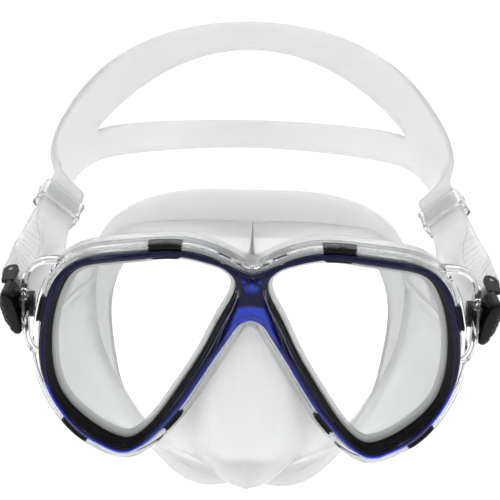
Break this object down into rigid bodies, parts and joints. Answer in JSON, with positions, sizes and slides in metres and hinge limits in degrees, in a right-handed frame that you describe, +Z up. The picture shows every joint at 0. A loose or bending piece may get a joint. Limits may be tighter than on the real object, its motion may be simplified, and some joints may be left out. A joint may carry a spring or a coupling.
{
  "type": "diving mask",
  "caption": "Two-lens diving mask: clear frame with blue front bezel, soft nose-pocket skirt, and a split head strap on swivelling release buckles.",
  "frame": {"origin": "between the wearer's temples: y = 0 at the rearmost reach of the face seal and z = 0 at the middle height of the two eyepieces", "axes": "+X to the wearer's left (the right of a picture taken from the front), -Y the way the mask looks, +Z up"},
  "size_m": [0.193, 0.2282, 0.159],
  "materials": {
    "blue_translucent": "glossy, dark cobalt, slightly see-through at thin places",
    "clear_polycarbonate": "polished and clear",
    "clear_silicone": "soft, milky clear",
    "tempered_glass": "polished",
    "black_plastic": "satin",
    "clear_sleeve": "clear, a little worn",
    "stainless_steel": "drawn wire",
    "black_acetal": "turned, satin"
  },
  "bodies": {
    "mask": {"front_bezel": "blue_translucent", "main_frame": "clear_polycarbonate", "skirt": "clear_silicone", "left_lens": "tempered_glass", "right_lens": "tempered_glass", "left_lens_retainer": "black_plastic", "right_lens_retainer": "black_plastic"},
    "head_strap": {"strap": "clear_silicone"},
    "left_buckle": {"left_buckle_housing": "black_plastic", "left_button_spring": "stainless_steel", "left_swivel_pin": "black_acetal", "left_swivel_retainer": "black_acetal", "left_roller_axle": "stainless_steel"},
    "left_button": {"left_release_button": "black_plastic"},
    "left_roller": {"left_strap_roller": "black_acetal"},
    "left_keeper": {"left_strap_keeper": "clear_sleeve"},
    "right_buckle": {"right_buckle_housing": "black_plastic", "right_button_spring": "stainless_steel", "right_swivel_pin": "black_acetal", "right_swivel_retainer": "black_acetal", "right_roller_axle": "stainless_steel"},
    "right_button": {"right_release_button": "black_plastic"},
    "right_roller": {"right_strap_roller": "black_acetal"},
    "right_keeper": {"right_strap_keeper": "clear_sleeve"}
  },
  "joints": [
    {"name": "strap_swing", "type": "hinge", "parent": "mask", "child": "head_strap", "pos_m": [0, -0.0494, 0.014], "axis": [1, 0, 0], "range_deg": [-30, 42]},
    {"name": "left_buckle_swivel", "type": "hinge", "parent": "mask", "child": "left_buckle", "pos_m": [0.08525, -0.0494, 0.014], "axis": [1, 0, 0], "range_deg": [-30, 42]},
    {"name": "left_button_press", "type": "slide", "parent": "left_buckle", "child": "left_button", "axis": [-0.9504, -0.2364, 0.202], "range_m": [0, 0.001], "stiffness_N_per_m": 600, "springref_m": -0.002, "deforming": ["left_button_spring"]},
    {"name": "left_roller_spin", "type": "hinge", "parent": "left_buckle", "child": "left_roller", "pos_m": [0.0896, -0.038, 0.0157], "axis": [0.2605, -0.2505, 0.9324], "continuous": true},
    {"name": "left_keeper_slide", "type": "slide", "parent": "head_strap", "child": "left_keeper", "axis": [-0.1698, 0.9388, 0.2996], "range_m": [-0.004, 0.002]},
    {"name": "right_buckle_swivel", "type": "hinge", "parent": "mask", "child": "right_buckle", "pos_m": [-0.08525, -0.0494, 0.014], "axis": [1, 0, 0], "range_deg": [-30, 42]},
    {"name": "right_button_press", "type": "slide", "parent": "right_buckle", "child": "right_button", "axis": [0.9504, -0.2364, 0.202], "range_m": [0, 0.001], "stiffness_N_per_m": 600, "springref_m": -0.002, "deforming": ["right_button_spring"]},
    {"name": "right_roller_spin", "type": "hinge", "parent": "right_buckle", "child": "right_roller", "pos_m": [-0.0896, -0.038, 0.0157], "axis": [-0.2605, -0.2505, 0.9324], "continuous": true},
    {"name": "right_keeper_slide", "type": "slide", "parent": "head_strap", "child": "right_keeper", "axis": [0.1698, 0.9388, 0.2996], "range_m": [-0.004, 0.002]}
  ],
  "couplings": [
    {"joint": "left_buckle_swivel", "follows": "strap_swing", "ratio": 1},
    {"joint": "right_buckle_swivel", "follows": "strap_swing", "ratio": 1}
  ]
}
